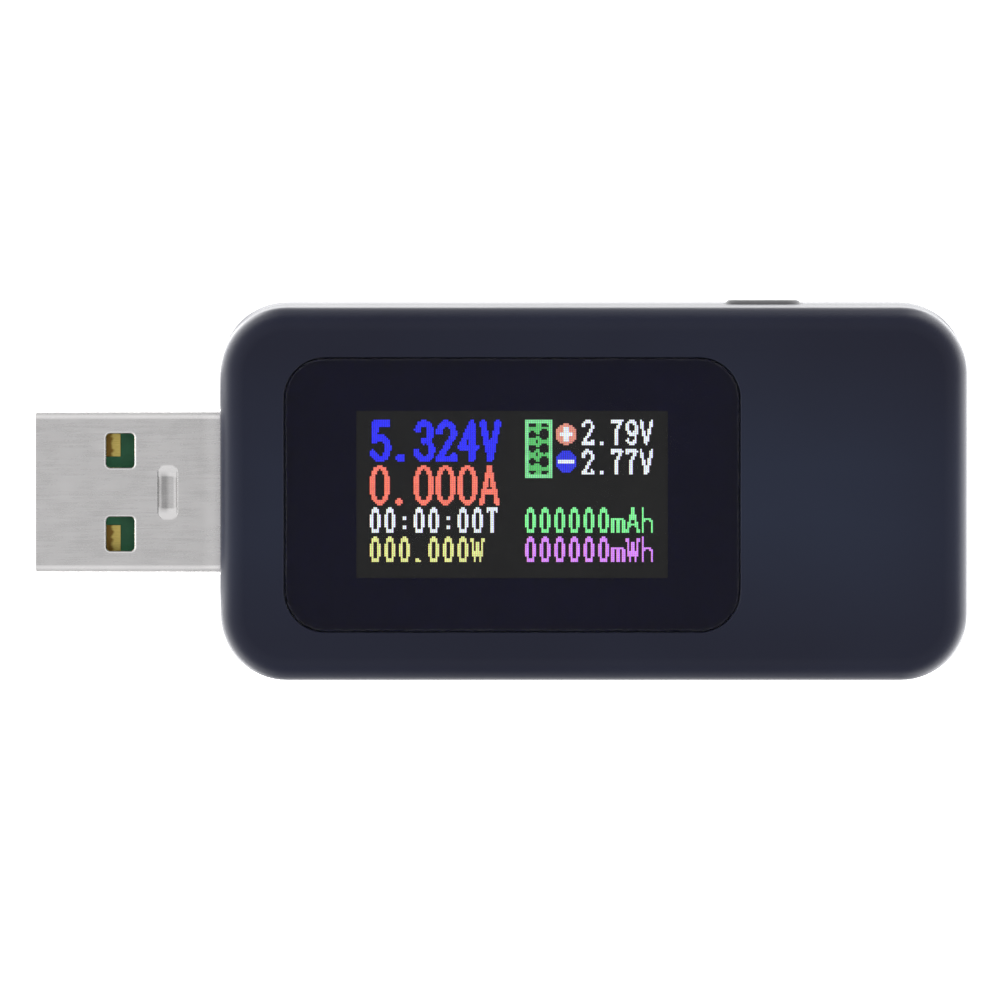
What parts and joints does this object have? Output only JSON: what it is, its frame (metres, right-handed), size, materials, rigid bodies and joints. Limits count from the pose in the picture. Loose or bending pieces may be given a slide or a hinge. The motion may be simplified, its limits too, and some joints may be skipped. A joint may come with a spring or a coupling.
{
  "type": "usb power meter",
  "caption": "Slim in-line USB power meter: a rounded dark case with a USB-A plug, a USB-A socket, a colour display under a glossy window and a side button.",
  "frame": {"origin": "centre of the case's flat back face, which it lies on", "axes": "+X towards the socket (the plug points along -X), +Y towards the side button, +Z out of the display face"},
  "size_m": [0.0675, 0.0273, 0.0126],
  "materials": {
    "case_plastic": "fine-textured black-blue moulded plastic, semi-matt",
    "button_plastic": "smooth black-blue moulded plastic",
    "window_clear": "clear polished acrylic",
    "mask_print": "black print on a clear film",
    "tape": "black double-sided tape",
    "white_plastic": "white moulded plastic",
    "light_guide": "clear light guide with a white back",
    "display_glass": "dark display glass behind a polariser",
    "led": "white LED bodies",
    "flex_film": "amber film cable",
    "foam": "dark closed-cell foam",
    "board": "green solder mask on glass-fibre laminate",
    "chip_body": "black moulded epoxy",
    "tinned_metal": "tinned metal",
    "resistor_body": "black glazed resistor",
    "capacitor_body": "tan multilayer ceramic",
    "usb_steel": "satin nickel-plated steel",
    "green_insulator": "dark green moulded insulator",
    "gold_contact": "gold-plated contact",
    "black_plastic": "black moulded plastic",
    "spring_steel": "thin spring steel"
  },
  "bodies": {
    "meter": {"front_shell": "case_plastic", "back_shell": "case_plastic", "display_window": "window_clear", "window_mask": "mask_print", "window_tape": "tape", "lcd_frame": "white_plastic", "lcd_panel": "display_glass", "lcd_light_guide": "light_guide", "lcd_leds": "led", "lcd_flex": "flex_film", "foam_pad": "foam", "main_board": "board", "mcu_chip": "chip_body", "mcu_leads": "tinned_metal", "memory_chip": "chip_body", "voltage_regulator": "chip_body", "shunt_resistor": "resistor_body", "capacitors": "capacitor_body", "resistors": "resistor_body", "plug_shell": "usb_steel", "plug_tongue": "green_insulator", "plug_contacts": "gold_contact", "socket_shell": "usb_steel", "socket_housing": "green_insulator", "socket_contacts": "gold_contact", "switch_base": "black_plastic", "switch_cover": "tinned_metal", "switch_dome": "spring_steel", "switch_terminals": "tinned_metal"},
    "button": {"button_cap": "button_plastic", "switch_plunger": "white_plastic"}
  },
  "joints": [
    {"name": "button_press", "type": "slide", "parent": "meter", "child": "button", "axis": [0, -1, 0], "range_m": [0, 0.00025], "stiffness_N_per_m": 5000, "springref_m": -0.0001, "deforming": ["switch_dome"]}
  ]
}
